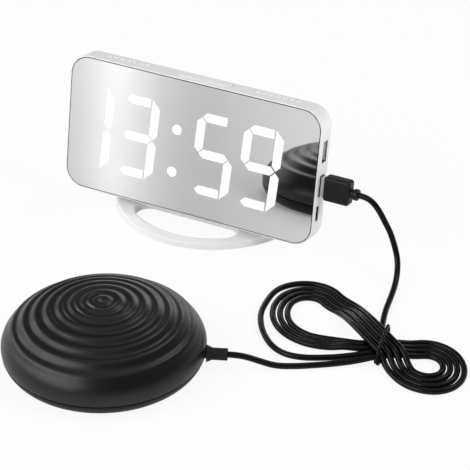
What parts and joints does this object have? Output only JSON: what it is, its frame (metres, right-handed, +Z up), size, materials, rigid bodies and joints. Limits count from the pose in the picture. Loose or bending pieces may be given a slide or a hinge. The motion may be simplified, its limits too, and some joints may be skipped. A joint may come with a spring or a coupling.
{
  "type": "bed shaker alarm clock",
  "caption": "Mirror-faced digital alarm clock on a ring stand, wired to a domed bed shaker by a hanked cord.",
  "frame": {"origin": "on the table, at the middle of the underside of the stand's bridge below the clock", "axes": "+X to the clock's ports, +Y from the shaker back past the clock, +Z up from the table"},
  "size_m": [0.2951, 0.2977, 0.0915],
  "materials": {
    "white_case": "glossy white moulded plastic",
    "white_button": "glossy white moulded plastic",
    "black_knob": "matte black plastic",
    "mirror_glass": "bright half-silvered face",
    "lit_white": "lit white diffuser",
    "reflector_white": "matte white plastic",
    "board": "green solder mask",
    "chip": "pale resin",
    "bright_metal": "plated sheet steel",
    "switch_black": "matte black plastic",
    "cell_steel": "plain steel",
    "weight_brass": "turned brass",
    "shaker_black": "satin black moulded plastic",
    "pad_rubber": "soft black rubber",
    "seal_black": "thin black sealing strip",
    "plug_black": "satin black overmould",
    "cord_black": "satin black cord jacket",
    "tie_black": "black coated wire"
  },
  "bodies": {
    "base": {"front_frame": "white_case", "rear_cover": "white_case", "battery_door": "white_case", "stand_ring": "white_case", "pin_header": "black_knob", "mirror_panel": "mirror_glass", "lit_segments": "lit_white", "segment_reflector": "reflector_white", "led_board": "board", "main_board": "board", "led_chips": "chip", "usb_port_upper": "bright_metal", "usb_port_lower": "bright_metal", "power_inlet": "bright_metal", "usb_plug_shell": "bright_metal", "tact_switches": "switch_black", "buzzer": "switch_black", "cell_holder": "switch_black", "usb_plug_insulator": "switch_black", "motor_cradle": "switch_black", "coin_cell": "cell_steel", "case_screws": "cell_steel", "shaker_screws": "cell_steel", "motor_can": "cell_steel", "shaker_top_shell": "shaker_black", "shaker_bottom_shell": "shaker_black", "shaker_foot_pads": "pad_rubber", "strain_relief": "pad_rubber", "mirror_seal": "seal_black", "usb_plug_body": "plug_black", "cord_lead": "cord_black", "cord_hank": "cord_black", "cord_tail": "cord_black", "cord_tie": "tie_black"},
    "snooze": {"snooze_button": "white_button"},
    "set_key": {"set_button": "white_button"},
    "up_key": {"up_button": "white_button"},
    "down_key": {"down_button": "white_button"},
    "alarm_key": {"alarm_button": "white_button"},
    "mode_knob": {"slider_knob": "black_knob"},
    "rotor": {"motor_shaft": "cell_steel", "eccentric_weight": "weight_brass"}
  },
  "joints": [
    {"name": "snooze_press", "type": "slide", "parent": "base", "child": "snooze", "axis": [0, -0.1736, -0.9848], "range_m": [0, 0.0006], "stiffness_N_per_m": 800},
    {"name": "set_press", "type": "slide", "parent": "base", "child": "set_key", "axis": [0, -0.9848, 0.1736], "range_m": [0, 0.0006], "stiffness_N_per_m": 800},
    {"name": "up_press", "type": "slide", "parent": "base", "child": "up_key", "axis": [0, -0.9848, 0.1736], "range_m": [0, 0.0006], "stiffness_N_per_m": 800},
    {"name": "down_press", "type": "slide", "parent": "base", "child": "down_key", "axis": [0, -0.9848, 0.1736], "range_m": [0, 0.0006], "stiffness_N_per_m": 800},
    {"name": "alarm_press", "type": "slide", "parent": "base", "child": "alarm_key", "axis": [0, -0.9848, 0.1736], "range_m": [0, 0.0006], "stiffness_N_per_m": 800},
    {"name": "mode_slide", "type": "slide", "parent": "base", "child": "mode_knob", "axis": [1, 0, 0], "range_m": [0, 0.003]},
    {"name": "motor_spin", "type": "hinge", "parent": "base", "child": "rotor", "pos_m": [0.0342, -0.1587, 0.0175], "axis": [1, 0, 0], "continuous": true}
  ]
}
